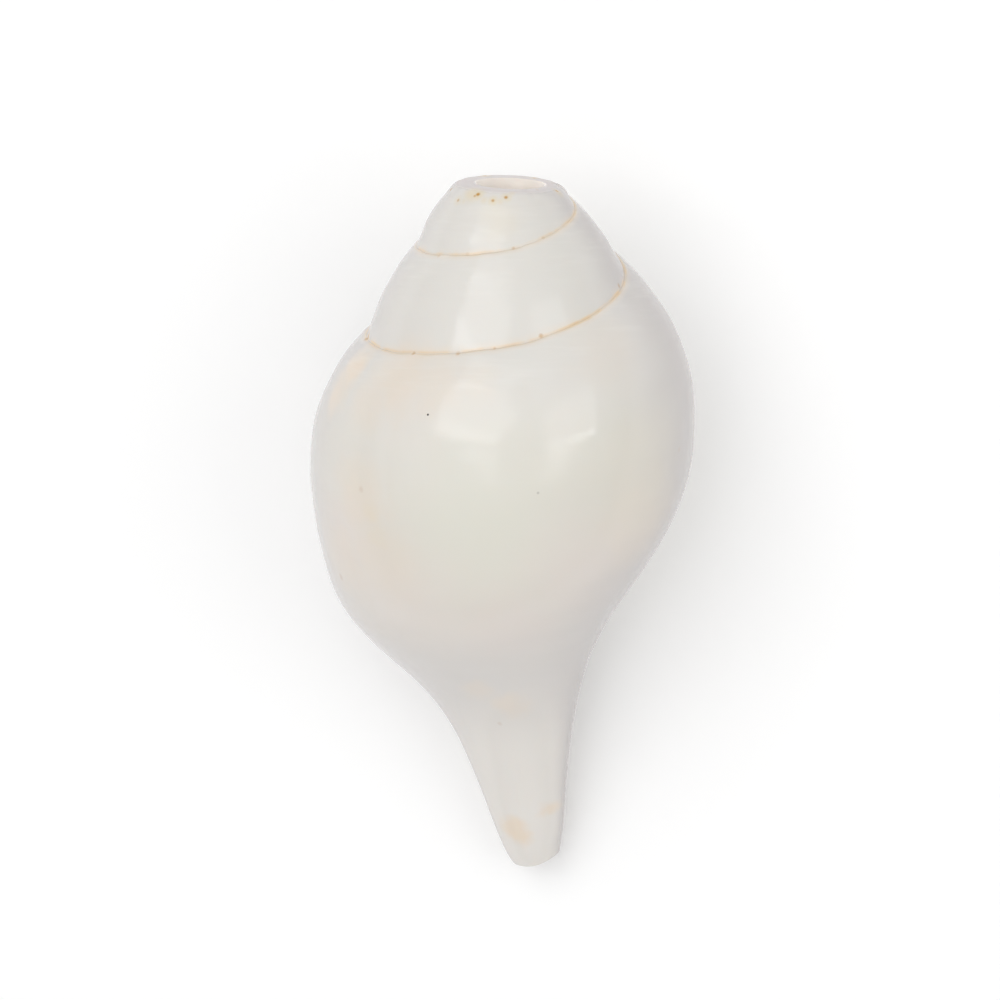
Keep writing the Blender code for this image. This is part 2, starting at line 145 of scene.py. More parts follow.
# The apex: worn thinner, sawn off, rounded at the rim and bored through into the chamber.
SPIRE_WEAR = 0.06
SPIRE_WEAR_FROM = 27.0
SPIRE_WEAR_OVER = 8.0
CUT_LEVEL = 19.6
CUT_TILT_DEG = 9.0
CUT_SIDE_DEG = 6.5
RIM_DROP = 3.0
RIM_INSET = 3.4
RIM_INSET_FRONT = 0.5  # more on the shell's back, where the hole's edge is thin
RIM_INSET_SIDE = 2.0  # more on the right, where the corner is filed off
RIM_SLOPE = 0.6  # share of the drop by which the rim leans in before it rounds over
RIM_ROUND_POWER = 1.5
RIM_STEPS = 8
BORE_RADIUS = 7.1
BORE_DEPTH = 17.0
THROAT_RADIUS = 5.5
THROAT_START = 19.0
THROAT_END = 25.0
THROAT_POINT = 2.0
BORE_SHIFT = (2.0, 1.8)
BORE_MOUTH_ROUND = 0.5
BORE_MOUTH_ARC_DEG = 45.0
BORE_MOUTH_STEPS = 5
BORE_FUNNEL = 0.7  # how much wider the funnel is than the bore
BORE_FUNNEL_DEPTH = 1.5
BORE_FUNNEL_FOOT = 0.3  # the funnel's side bends into the bore's this far out and up
BORE_FUNNEL_EASE = 0.4  # the bore's straight side starts this far below the funnel
BORE_ABOVE = 4.0  # how far the cutter stands out of the rim
BORE_SEGMENTS = 96
BORE_WALL_NEAR = 0.05  # a vertex this near the bore's wall belongs to it
BORE_RIM_NEAR = 0.02

# Fineness of the mesh.
COLUMNS = 200
ROWS_LIP = 8
ROWS_BASE = 90
ROWS_TIP = 8
CHAMBER_COLUMNS = 64
CHAMBER_TURNS = 2.35
SPIRE_TURNS = 3.4
DENSE = 1200
SUTURE_ROWS = 9  # rows crowded together on each side of a suture
SUTURE_REACH = 4.0
ROWS_MIDDLE = 20
ROWS_SHOULDER = 2 * SUTURE_ROWS + ROWS_MIDDLE
SHARP_DEG = 50.0  # edges bent by more than this are shaded sharp

# Small forms that the solid leaves out.
SUTURE_STEP = 0.8
SUTURE_STEP_RISE = 0.35
SUTURE_STEP_FADE = 5.0
SUTURE_WAVE = 0.35
SUTURE_WAVES = ((0.5, 5.0, 0.7), (0.3, 11.0, 2.1), (0.2, 23.0, 0.0))  # (share, waves in a turn, phase)
SUTURE_WAVE_OVER = 0.3  # the sutures start to stray over this angle behind the lip, in radians
SUTURE_WAVE_REACH = 6.0
SPIRE_SUTURE_RISE = 2.6  # the spire's sutures lie nearer the apex, as a share of SUTURE_WAVE
SPIRE_SUTURE_FROM = 2.4
SPIRE_SUTURE_OVER = 2.0
UNEVEN = 0.22
UNEVEN_LENGTH = 16.0
RIPPLE = 0.05
RIPPLE_LENGTH = 5.0
RIPPLE_STRETCH = 0.15  # below 1, the ripples run around the shell
RIM_WEAR = 0.35
RIM_WEAR_LENGTH = 2.5

# Values that the mesh carries for its finish.
LAYERS = ("below_suture", "above_suture", "inside", "sawn")
FAR = 99.0  # the distance that stands for no suture near

# The view: straight down on the shell's back, with the apex raised and leaning a little to the left.
# The same fit gave the rise, the roll, and how far across and up the apex lies in the view.
VIEW_RISE_DEG = 20.7
VIEW_ROLL_DEG = 4.5
VIEW_DISTANCE = 1600.0
VIEW_LENS = 250.0
APEX_IN_VIEW = (-1.0, 89.8, 33.6)

# The light. A softbox has a name, degrees across and up from the camera, a size, a brightness and a turn.
FLOOR_SIZE = 6.0
TABLE_TONE = 0.92
TABLE_GLOW = 0.11
SKY_LOW = 0.58
SKY_TOP = 0.80
SKY_RIGHT_DIM = 0.14
LIT_POINT = (0.0, 0.0, 0.04)
SOFTBOX_DISTANCE = 0.9
SOFTBOXES = (
    ("left softbox", -24.0, 13.0, (0.74, 0.46), 1.15, -25.0),
    ("left softbox top", -22.0, 36.0, (0.62, 0.34), 0.6, -12.0),
    ("left softbox lower edge", -28.0, 1.0, (0.70, 0.16), 1.1, -25.0),
    ("left softbox foot", -19.0, -17.0, (0.40, 0.16), 1.0, -25.0),
    ("right softbox", 35.0, 3.0, (0.54, 0.52), 1.0, 12.0),
    ("right softbox lower edge", 39.0, -14.0, (0.50, 0.05), 3.0, 15.0),
    ("right softbox foot", 27.0, -23.0, (0.26, 0.12), 0.7, 15.0),
)


def natural_spline(at, values):
    """A smooth curve through the given points, straight at both ends."""
    at = np.asarray(at, float)
    values = np.asarray(values, float)
    count = len(at)
    step = np.diff(at)
    matrix = np.eye(count)
    right = np.zeros_like(values)
    for i in range(1, count - 1):
        matrix[i, i - 1 : i + 2] = step[i - 1], 2.0 * (step[i - 1] + step[i]), step[i]
        right[i] = 6.0 * ((values[i + 1] - values[i]) / step[i] - (values[i] - values[i - 1]) / step[i - 1])
    bend = np.linalg.solve(matrix, right)

    def curve(t):
        t = np.asarray(t, float)
        i = np.clip(np.searchsorted(at, t) - 1, 0, count - 2)
        h = step[i][..., None]
        a = ((at[i + 1] - t)[..., None]) / h
        b = ((t - at[i])[..., None]) / h
        cubic = (a**3 - a) * bend[i] + (b**3 - b) * bend[i + 1]
        return a * values[i] + b * values[i + 1] + cubic * h**2 / 6.0

    return curve


def ease(t):
    """0 below 0, 1 above 1, and smooth between."""
    t = np.clip(t, 0.0, 1.0)
    return t**3 * (t * (6.0 * t - 15.0) + 10.0)


def soft_ramp(x, softness):
    """Zero for negative x, x for positive x, rounded at the corner."""
    return softness * np.logaddexp(0.0, x / softness)


def generating_curve():
    start = np.array(SUTURE)
    end = start * np.array([WIDTH_RATIO, LEVEL_RATIO])
    chord = end - start
    outward = np.array([chord[1], -chord[0]]) / np.hypot(*chord)
    shares = np.arange(1, len(SHOULDER_SWELL) + 1) / (len(SHOULDER_SWELL) + 1)
    bulge = [start + chord * t + outward * s for t, s in zip(shares, SHOULDER_SWELL)]
    points = np.array([start, *bulge, end, *BASE_KNOTS])
    along = np.concatenate([[0.0], np.cumsum(np.hypot(*np.diff(points, axis=0).T))])
    return natural_spline(along, points), along[len(bulge) + 1], along[-1]


CURVE, SUTURE_ARC, LAST_ARC = generating_curve()
NEXT_SUTURE_LEVEL = LEVEL_RATIO * SUTURE[1]


def pillar_radius(turn, level):
    spire_side = PILLAR_SLOPE * level
    canal_side = PILLAR_TIP + PILLAR_TAPER * (PILLAR_LEVEL - level)
    bare = spire_side - soft_ramp(spire_side - canal_side, PILLAR_BLEND)
    spread = np.exp(-(((level - CALLUS_LEVEL) / CALLUS_SPREAD) ** 2))
    return bare + CALLUS * spread * (1.0 - ease((turn + TURN) / CALLUS_FADE))


def skin(turn, arc):
    """Radius, level and extra angle of the outside, at an angle of growth and a length along the curve."""
    radius, level = np.moveaxis(CURVE(arc), -1, 0)
    past_suture = level - NEXT_SUTURE_LEVEL
    axial = 1.0 - ease(past_suture / (AXIAL_STOP - NEXT_SUTURE_LEVEL))
    canal = CANAL_RATE * soft_ramp(level - CANAL_START, CANAL_BLEND)
    canal = canal - CANAL_EASE_RATE * soft_ramp(level - CANAL_EASE_START, CANAL_EASE_BLEND)
    radial = 1.0 + canal * ease(past_suture / CANAL_LEAD_IN)
    radius = radius * np.exp(GROWTH * radial * turn)
    level = level * np.exp(DESCENT * axial * turn)
    drawn_in = 1.0 / (1.0 + np.exp(-(turn + TURN * LAST_TURN_START) / LAST_TURN_BLEND))
    radius = radius * (1.0 - LAST_TURN_SHRINK * ease(arc / (SHRINK_REACH * SUTURE_ARC)) * drawn_in)
    radius = radius * (1.0 - SPIRE_WEAR * ease((SPIRE_WEAR_FROM - level) / SPIRE_WEAR_OVER))
    curl = ease((level - CURL_FROM) / CURL_OVER) * ease(1.0 + turn / CURL_TURN)
    radius = radius * (1.0 - CURL_IN * curl)
    pillar = pillar_radius(turn, level)
    joined = (radius**PILLAR_JOIN + pillar**PILLAR_JOIN) ** (1.0 / PILLAR_JOIN)
    return joined, level, CURL_ROUND * curl


def to_axis_frame(radius, level, turn, extra=0.0):
    """Points with the coiling axis along Y, the apex toward +Y and the top of the lying shell toward +Z."""
    angle = math.radians(LIP_ANGLE_DEG) + turn + extra
    x = radius * np.cos(angle)
    z = radius * np.sin(angle)
    near_tip = ease((level - TIP_LEVEL + TIP_BEVEL_OVER) / TIP_BEVEL_OVER)
    bevel = TIP_BEVEL_SLOPE * soft_ramp(x - TIP_BEVEL_X, TIP_BEVEL_BLEND) * near_tip
    return np.stack([x, bevel - level, z], axis=-1)


def suture_wave(turn):
    """How far a suture strays along the axis from its smooth helix, as a share of SUTURE_WAVE."""
    stray = sum(share * np.sin(waves * turn + phase) for share, waves, phase in SUTURE_WAVES)
    risen = SPIRE_SUTURE_RISE * ease((-turn - SPIRE_SUTURE_FROM) / SPIRE_SUTURE_OVER)
    return (stray - risen) * ease(-turn / SUTURE_WAVE_OVER)


def outer_points(turn, arc):
    radius, level, extra = skin(turn, arc)
    down = np.clip((level - TIP_LEVEL + TIP_ROUND_DOWN) / TIP_ROUND_DOWN, 0.0, 1.0)
    inward = np.minimum(TIP_ROUND_IN, TIP_ROUND_MOST * radius)
    radius = radius - inward * (1.0 - np.sqrt(1.0 - TIP_ROUND_SHARE * down**2))
    scale = math.exp(GROWTH * turn)
    step = SUTURE_STEP * (1.0 - np.exp(-arc / SUTURE_STEP_RISE)) * np.exp(-arc / SUTURE_STEP_FADE)
    radius = radius + scale * step
    own = suture_wave(turn) * np.exp(-((arc / SUTURE_WAVE_REACH) ** 2))
    following = suture_wave(turn + TURN) * np.exp(-(((arc - SUTURE_ARC) / SUTURE_WAVE_REACH) ** 2))
    level = level + scale * SUTURE_WAVE * (own + WIDTH_RATIO * following)
    return to_axis_frame(radius, level, turn, extra)


def wall_curve(turn, arcs):
    """The inner face of the wall at one angle: the outside moved in by the wall's thickness."""
    radius, level, extra = skin(turn, arcs)
    slope = np.stack([np.gradient(radius, arcs), np.gradient(level, arcs)])
    slope = slope / np.hypot(*slope)
    thick = WALL + (WALL_CANAL - WALL) * ease((level - WALL_THINS_FROM) / WALL_THINS_OVER)
    thick = thick * np.exp(GROWTH * WALL_SCALE * turn)
    return radius - thick * slope[1], level + thick * slope[0], extra


def level_before_lip(arcs):
    """Levels, under the lip, of the turn that the mouth is built over."""
    return skin(np.full_like(arcs, -TURN), arcs)[1]


def floor_radius(turn, levels):
    """The chamber's inner side at one angle: the turn before, glazed over and carrying the folds."""
    arcs = np.linspace(0.0, LAST_ARC, DENSE)
    radius, level, _ = skin(turn - TURN, arcs)
    inside = ease(-turn / MOUTH_TURN)
    home = np.interp(levels, level, level_before_lip(arcs))
    found = np.interp(levels, level, radius) + GLAZE * inside * np.exp(GROWTH * turn)
    for at, height in zip(FOLD_LEVELS, FOLD_HEIGHTS):
        found = found + height * inside * np.exp(-(((home - at) / FOLD_WIDTH) ** 2))
    return found


def chamber_reach(turn):
    """Arc lengths on the wall at which the chamber starts and ends, and whether it runs out at the tip."""
    arcs = np.linspace(0.0, LAST_ARC, DENSE)
    radius, level, _ = wall_curve(turn, arcs)
    gap = radius - floor_radius(turn, level) - CORNER_GAP * math.exp(GROWTH * turn)
    first = int(np.argmax(gap > 0.0))
    last = int(np.flatnonzero((gap > 0.0) & (level < TIP_LEVEL))[-1])
    top = np.interp(0.0, gap[first - 1 : first + 1], arcs[first - 1 : first + 1])
    if gap[last + 1] > 0.0:
        return top, np.interp(TIP_LEVEL, level[last : last + 2], arcs[last : last + 2]), True
    return top, np.interp(0.0, gap[last + 1 : last - 1 : -1], arcs[last + 1 : last - 1 : -1]), False


def canal_closing_turn():
    """The angle at which the chamber stops running out at the tip."""
    low = -0.75 * TURN
    high = 0.0
    while high - low > 1e-6:
        middle = 0.5 * (low + high)
        if chamber_reach(middle)[2]:
            high = middle
        else:
            low = middle
    return high


def outer_rows():
    """Arc lengths of the rows, close together at both sutures and evenly spaced down the base."""
    arcs = np.linspace(0.0, LAST_ARC, 4 * DENSE)
    lip_level = skin(0.0, arcs)[1]
    corner_level = np.interp(chamber_reach(0.0)[0], arcs, wall_curve(0.0, arcs)[1])
    corner = np.interp(corner_level, level_before_lip(arcs), arcs)
    rounding = np.interp(TIP_LEVEL - TIP_ROUND_DOWN, lip_level, arcs)
    tip = np.interp(TIP_LEVEL, lip_level, arcs)
    top_rows = SUTURE_REACH * np.linspace(0.0, 1.0, SUTURE_ROWS + 1) ** 2
    bottom_rows = SUTURE_ARC - top_rows[::-1]
    middle = np.linspace(top_rows[-1], bottom_rows[0], ROWS_MIDDLE + 1)[1:-1]
    under_lip = np.linspace(SUTURE_ARC, corner, ROWS_LIP + 1)[1:]
    base = np.linspace(corner, rounding, ROWS_BASE + 1)[1:]
    tip_share = np.sin(np.linspace(0.0, 0.5 * math.pi, ROWS_TIP + 1))[1:]
    tip_rows = rounding + (tip - rounding) * tip_share
    return np.concatenate([top_rows, middle, bottom_rows, under_lip, base, tip_rows])


def corner_rounding(share, closed_below):
    """How far a side of the chamber has closed on the other: 1 at a corner, 0 away from it."""
    near = 1.0 - np.clip(share / CORNER_ROUND, 0.0, 1.0)
    if closed_below:
        near = np.maximum(near, 1.0 - np.clip((1.0 - share) / CORNER_ROUND, 0.0, 1.0))
    return (1.0 - np.sqrt(np.clip(1.0 - near**2, 0.0, 1.0)))[:, None]


def chamber_sides(turn, wall_shares, floor_shares, closed_below):
    """The wall side and the floor side of the chamber at one angle, each from top to bottom."""
    arcs = np.linspace(0.0, LAST_ARC, DENSE)
    top, bottom, _ = chamber_reach(turn)
    radius, level, extra = wall_curve(turn, arcs)
    ends = np.interp([top, bottom], arcs, level)
    centred = 0.5 * ease(-turn / MOUTH_TURN)

    def across(at):
        levels = np.interp(at, arcs, level)
        wall = to_axis_frame(np.interp(at, arcs, radius), levels, turn, np.interp(at, arcs, extra))
        floor = to_axis_frame(floor_radius(turn, levels), levels, turn)
        share = (levels - ends[0]) / (ends[1] - ends[0])
        return wall, floor, corner_rounding(share, closed_below)

    wall, floor, close = across(top + (bottom - top) * wall_shares)
    wall_side = wall + (floor - wall) * close * (1.0 - centred)
    within = (arcs >= top - arcs[1]) & (arcs <= bottom + arcs[1])
    levels = ends[0] + (ends[1] - ends[0]) * floor_shares
    wall, floor, close = across(np.interp(levels, level[within], arcs[within]))
    floor_side = floor + (wall - floor) * close * centred
    return wall_side, floor_side


class Surface:
    """Vertices, faces and painted values of one mesh, in millimetres."""

    def __init__(self):
        self.points = []
        self.faces = []
        self.values = []

    def add(self, points, values):
        """values: each point's distance below a suture and above one, and how far inside it is."""
        first = len(self.points)
        self.points.extend(np.asarray(points, float).reshape(-1, 3))
        self.values.extend(np.broadcast_to(values, (len(self.points) - first, 3)))
        return list(range(first, len(self.points)))

    def strip(self, left, right):
        """Quads between two rows of vertices of the same length."""
        for k in range(len(left) - 1):
            self.face(left[k], left[k + 1], right[k + 1], right[k])

    def half_strip(self, fine, coarse):
        """Faces between a row of vertices and one with half as many steps."""
        for k in range(len(coarse) - 1):
            self.face(fine[2 * k], fine[2 * k + 1], coarse[k])
            self.face(fine[2 * k + 1], fine[2 * k + 2], coarse[k + 1], coarse[k])

    def face(self, *corners):
        kept = tuple(dict.fromkeys(corners))
        if len(kept) > 2:
            self.faces.append(kept)


def suture_distances(turn, rows):
    """Millimetres along the surface below the whorl's own suture and above the next one."""
    scale = math.exp(GROWTH * turn)
    below = rows * scale
    above = (SUTURE_ARC - rows) * scale
    if turn > -TURN:
        above = np.full_like(rows, FAR)
    return np.stack([below, np.where(above < 0.0, FAR, above), np.zeros_like(rows)], axis=-1)


def add_outside(surface, rows):
    """The outside, column by column from the lip back; a whorl's top row is the row below the one before."""
    count = round(SPIRE_TURNS * COLUMNS)
    columns = {}
    for i in range(count, -1, -1):
        turn = -TURN * i / COLUMNS
        reach = len(rows) if i <= COLUMNS else ROWS_SHOULDER + 1
        points = outer_points(turn, rows[:reach])
        values = suture_distances(turn, rows[:reach])
        shared = columns.get(i + COLUMNS)
        if shared:
            columns[i] = [shared[ROWS_SHOULDER]] + surface.add(points[1:], values[1:])
        else:
            columns[i] = surface.add(points, values)
    for i in range(count):
        reach = len(rows) if i < COLUMNS else ROWS_SHOULDER + 1
        surface.strip(columns[i][:reach], columns[i + 1][:reach])
    return columns


def add_lip(surface, outside, wall_side):
    """The rounded edge of the lip, between the outside and the inside of the wall."""
    lip = outside[0]
    attached = outside[COLUMNS][ROWS_SHOULDER:]
    outer = np.array([surface.points[k] for k in lip])
    share = np.arange(len(lip)) / 2.0
    inner = np.stack([np.interp(share, np.arange(len(wall_side)), wall_side[:, k]) for k in range(3)], 1)
    ahead = outer - outer_points(-TURN / 360.0, OUTER_ROWS)
    ahead = ahead / np.linalg.norm(ahead, axis=1, keepdims=True)
    thick = np.linalg.norm(inner - outer, axis=1, keepdims=True)
    thick = thick * ease(OUTER_ROWS / LIP_FADE)[:, None]
    before = lip
    for m in range(1, ROWS_LIP):
        angle = math.pi * m / ROWS_LIP
        across = outer + (inner - outer) * 0.5 * (1.0 - math.cos(angle))
        bulged = across + ahead * thick * 0.5 * math.sin(angle)
        column = [attached[m]] + surface.add(bulged[1:], (FAR, FAR, m / ROWS_LIP))
        surface.strip(before, column)
        before = column
        yield column[-1]
    inner_column = [attached[ROWS_LIP]] + surface.add(wall_side[1:], (FAR, FAR, 1.0))
    surface.half_strip(before, inner_column)
    yield inner_column


def add_chamber(surface, outside, rows):
    """The chamber from the mouth back to its blind end, and the flat end of the canal."""
    closing = canal_closing_turn()
    step = TURN / CHAMBER_COLUMNS
    open_turns = np.linspace(0.0, closing, round(-closing / step) + 1)
    deep = round((CHAMBER_TURNS * TURN + closing) / step)
    turns = np.concatenate([open_turns, np.linspace(closing, -CHAMBER_TURNS * TURN, deep + 1)[1:]])
    levels = level_before_lip(rows[ROWS_SHOULDER + ROWS_LIP :])
    floor_shares = (levels - levels[0]) / (levels[-1] - levels[0])
    wall_shares = rows[::2] / rows[-1]

    wall_side, _ = chamber_sides(0.0, wall_shares, floor_shares, False)
    *lip_ends, wall = add_lip(surface, outside, wall_side)
    floor = outside[COLUMNS][ROWS_SHOULDER + ROWS_LIP :]
    end_walls = [wall[-1]]
    end_floors = []
    for k, turn in enumerate(turns[1:], 1):
        closed = k >= len(open_turns) - 1
        wall_side, floor_side = chamber_sides(turn, wall_shares, floor_shares, closed)
        value = (FAR, FAR, 1.0 + min(1.0, -turn / TURN))
        new_wall = surface.add(wall_side, value)
        if closed:
            new_floor = [new_wall[0]] + surface.add(floor_side[1:-1], value) + [new_wall[-1]]
        else:
            new_floor = [new_wall[0]] + surface.add(floor_side[1:], value)
            end_floors.append(new_floor[-1])
        if k < len(open_turns):
            end_walls.append(new_wall[-1])
        surface.strip(wall, new_wall)
        surface.strip(floor, new_floor)
        wall = new_wall
        floor = new_floor
    surface.face(*wall, *floor[-2:0:-1])
    end_outside = [outside[i][-1] for i in range(COLUMNS, -1, -1)]
    surface.face(*end_outside, *lip_ends, *end_walls, *end_floors[::-1])


def cut_frame():
    """Where the apex is sawn off: the frame's +Z is the cut's outward normal, its origin is on the axis."""
    tilt = Matrix.Rotation(math.radians(-90.0 - CUT_TILT_DEG), 4, "X")
    side = Matrix.Rotation(math.radians(-CUT_SIDE_DEG), 4, "Z")
    return Matrix.Translation((0.0, -CUT_LEVEL, 0.0)) @ side @ tilt


def saw_apex(mesh, below_suture, above_suture, sawn):
    """Cut the apex off, round the rim unevenly and close the top with one flat face."""
    frame_at_cut = cut_frame()
    normal = (frame_at_cut.to_3x3() @ Vector((0.0, 0.0, 1.0))).normalized()
    centre = frame_at_cut.translation
    bmesh.ops.bisect_plane(
        mesh,
        geom=[*mesh.verts, *mesh.edges, *mesh.faces],
        dist=1e-5,
        plane_co=centre - normal * RIM_DROP,
        plane_no=normal,
        clear_outer=True,
    )
    edges = [edge for edge in mesh.edges if edge.is_boundary]
    start = {vert: vert.co.copy() for edge in edges for vert in edge.verts}
    middle = sum(start.values(), Vector()) / len(start)
    for step in range(1, RIM_STEPS + 1):
        below = set(start)
        made = bmesh.ops.extrude_edge_only(mesh, edges=edges)["geom"]
        edges = [item for item in made if isinstance(item, bmesh.types.BMEdge) and item.is_boundary]
        angle = 0.5 * math.pi * step / RIM_STEPS
        raised = {}
        for vert in [item for item in made if isinstance(item, bmesh.types.BMVert)]:
            neighbours = [edge.other_vert(vert) for edge in vert.link_edges]
            raised[vert] = next(start[near] for near in neighbours if near in below)
        for vert, origin in raised.items():
            inward = (middle - origin).normalized()
            front = RIM_INSET_FRONT * max(0.0, -inward.z)
            side = RIM_INSET_SIDE * max(0.0, -inward.x) ** 2
            reach = RIM_INSET + front + side
            sloped = RIM_SLOPE * RIM_DROP * math.sin(angle)
            rounded = (reach - RIM_SLOPE * RIM_DROP) * (1.0 - math.cos(angle)) ** RIM_ROUND_POWER
            worn = RIM_WEAR * noise.noise(origin / RIM_WEAR_LENGTH) * math.sin(angle)
            inset = sloped + rounded + worn
            vert.co = origin + inset * inward + RIM_DROP * math.sin(angle) * normal
            vert[below_suture] = FAR
            vert[above_suture] = FAR
            vert[sawn] = step / RIM_STEPS
        start = raised
    bmesh.ops.contextual_create(mesh, geom=edges)


def roughen(mesh, inside):
    """Raise and sink the outside a little, as a shell that was filed and polished by hand."""
    bmesh.ops.recalc_face_normals(mesh, faces=mesh.faces)
    mesh.normal_update()
    for vert in mesh.verts:
        at = vert.co
        swell = UNEVEN * noise.noise(at / UNEVEN_LENGTH)
        drawn_out = Vector((RIPPLE_STRETCH * at.x, at.y, RIPPLE_STRETCH * at.z))
        ripple = RIPPLE * noise.noise(drawn_out / RIPPLE_LENGTH)
        vert.co = at + vert.normal * (swell + ripple) * max(0.0, 1.0 - vert[inside])


def shell_mesh():
    surface = Surface()
    outside = add_outside(surface, OUTER_ROWS)
    add_chamber(surface, outside, OUTER_ROWS)
    mesh = bmesh.new()
    layers = [mesh.verts.layers.float.new(name) for name in LAYERS]
    verts = [mesh.verts.new(point) for point in surface.points]
    for vert, values in zip(verts, surface.values):
        for layer, value in zip(layers, values):
            vert[layer] = value
    for corners in surface.faces:
        mesh.faces.new([verts[k] for k in corners])
    loose = [vert for vert in mesh.verts if not vert.link_faces]
    bmesh.ops.delete(mesh, geom=loose, context="VERTS")
    roughen(mesh, layers[2])
    saw_apex(mesh, layers[0], layers[1], layers[3])
    bmesh.ops.recalc_face_normals(mesh, faces=mesh.faces)
    return mesh


def bore_profile():
    """The blow hole's radii and heights over the rim: a funnel of a mouth, a bore, and a narrower throat."""
    mouth_radius = BORE_RADIUS + BORE_FUNNEL
    profile = [(mouth_radius + BORE_MOUTH_ROUND, BORE_ABOVE)]
    for k in range(BORE_MOUTH_STEPS + 1):
        angle = math.radians(BORE_MOUTH_ARC_DEG / BORE_MOUTH_STEPS * k)
        radius = mouth_radius + BORE_MOUTH_ROUND * (1.0 - math.sin(angle))
        profile.append((radius, -BORE_MOUTH_ROUND * (1.0 - math.cos(angle))))
    profile.append((BORE_RADIUS + BORE_FUNNEL_FOOT, BORE_FUNNEL_FOOT - BORE_FUNNEL_DEPTH))
    profile.append((BORE_RADIUS, -BORE_FUNNEL_DEPTH - BORE_FUNNEL_EASE))
    profile.append((BORE_RADIUS, -BORE_DEPTH))
    profile.append((THROAT_RADIUS, -THROAT_START))
    profile.append((THROAT_RADIUS, -THROAT_END))
    return profile


def bore_frame():
    return cut_frame() @ Matrix.Translation((*BORE_SHIFT, 0.0))


def bore_mesh():
    """The blow hole's cutter, which opens into the chamber."""
    profile = [(0.0, BORE_ABOVE), *bore_profile(), (0.0, -THROAT_END - THROAT_POINT)]
    mesh = bmesh.new()
    verts = [mesh.verts.new((radius, 0.0, height)) for radius, height in profile]
    edges = [mesh.edges.new(pair) for pair in zip(verts, verts[1:])]
    bmesh.ops.spin(
        mesh,
        geom=[*verts, *edges],
        cent=(0.0, 0.0, 0.0),
        axis=(0.0, 0.0, 1.0),
        angle=TURN,
        steps=BORE_SEGMENTS,
        use_merge=True,
    )
    bmesh.ops.remove_doubles(mesh, verts=mesh.verts, dist=1e-4)
    bmesh.ops.recalc_face_normals(mesh, faces=mesh.faces)
    bmesh.ops.transform(mesh, matrix=bore_frame(), verts=mesh.verts)
    return mesh


def lying_turn():
    lean = Matrix.Rotation(math.radians(LEAN_DEG), 4, "X")
    spin = Matrix.Rotation(math.radians(SPIN_DEG), 4, "Y")
    return lean @ spin


def lying_frame(mesh):
    """From the shell's own axes to the model's metres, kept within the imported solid's box."""
    turned = lying_turn()
    points = np.array([turned @ vert.co for vert in mesh.verts])
    low = points.min(axis=0)
    high = points.max(axis=0)
    solid_low, solid_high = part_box("conch_shell")
    room = np.array(solid_high - solid_low) / (METRES * (high - low))
    size = METRES * min(1.0, room.min())
    middle = 0.5 * (solid_low + solid_high)
    ground = Vector((middle.x, middle.y, solid_low.z))
    centre = Vector((-0.5 * (low[0] + high[0]), -0.5 * (low[1] + high[1]), -low[2]))
    return Matrix.Translation(ground) @ Matrix.Scale(size, 4) @ Matrix.Translation(centre) @ turned


def add_object(name, bm):
    mesh = bpy.data.meshes.new(name)
    bm.to_mesh(mesh)
    bm.free()
    item = bpy.data.objects.new(name, mesh)
    bpy.context.scene.collection.objects.link(item)
    return item


def baked_difference(item, cutter):
    """The item's mesh with the cutter taken out of it, as a plain mesh."""
    cut = item.modifiers.new("cut", "BOOLEAN")
    cut.operation = "DIFFERENCE"
    cut.solver = "EXACT"
    cut.object = cutter
    bpy.context.view_layer.update()
    evaluated = item.evaluated_get(bpy.context.evaluated_depsgraph_get())
    result = bpy.data.meshes.new_from_object(evaluated)
    item.modifiers.clear()
    item.data = result
    bpy.data.objects.remove(cutter)


def mark_bore(shell, to_model):
    """Set the layers on the blow hole's wall and edge, which the cut leaves without values."""
    radii, heights = zip(*bore_profile())
    depths = [-height for height in heights]
    to_bore = (to_model @ bore_frame()).inverted()
    layers = [shell.data.attributes[name].data for name in LAYERS]
    for vert in shell.data.vertices:
        place = to_bore @ vert.co
        wall = np.interp(-place.z, depths, radii) + BORE_WALL_NEAR
        if -place.z > depths[-1] or math.hypot(place.x, place.y) > wall:
            continue
        values = (FAR, FAR, 0.0, 1.0) if place.z > -BORE_RIM_NEAR else (FAR, FAR, 2.0, 0.0)
        for layer, value in zip(layers, values):
            layer[vert.index].value = value


OUTER_ROWS = outer_rows()


def build_shell():
    mesh = shell_mesh()
    to_model = lying_frame(mesh)
    bore = bore_mesh()
    bmesh.ops.transform(mesh, matrix=to_model, verts=mesh.verts)
    bmesh.ops.transform(bore, matrix=to_model, verts=bore.verts)
    shell = add_object("shell_surface", mesh)
    baked_difference(shell, add_object("bore", bore))
    mark_bore(shell, to_model)
    shell.data.shade_smooth()
    shell.data.set_sharp_from_angle(angle=math.radians(SHARP_DEG))
    return shell, to_model


def surface_point(angle_deg, level):
    """The point of the outside at an angle around the axis and a level down it, on the outermost turn."""
    turn = math.radians((angle_deg - LIP_ANGLE_DEG) % 360.0) - TURN
    while skin(turn, 0.0)[1] > level:
        turn -= TURN
    arcs = np.linspace(0.0, LAST_ARC, DENSE)
    arc = np.interp(level, skin(turn, arcs)[1], arcs)
    return Vector(outer_points(turn, arc))


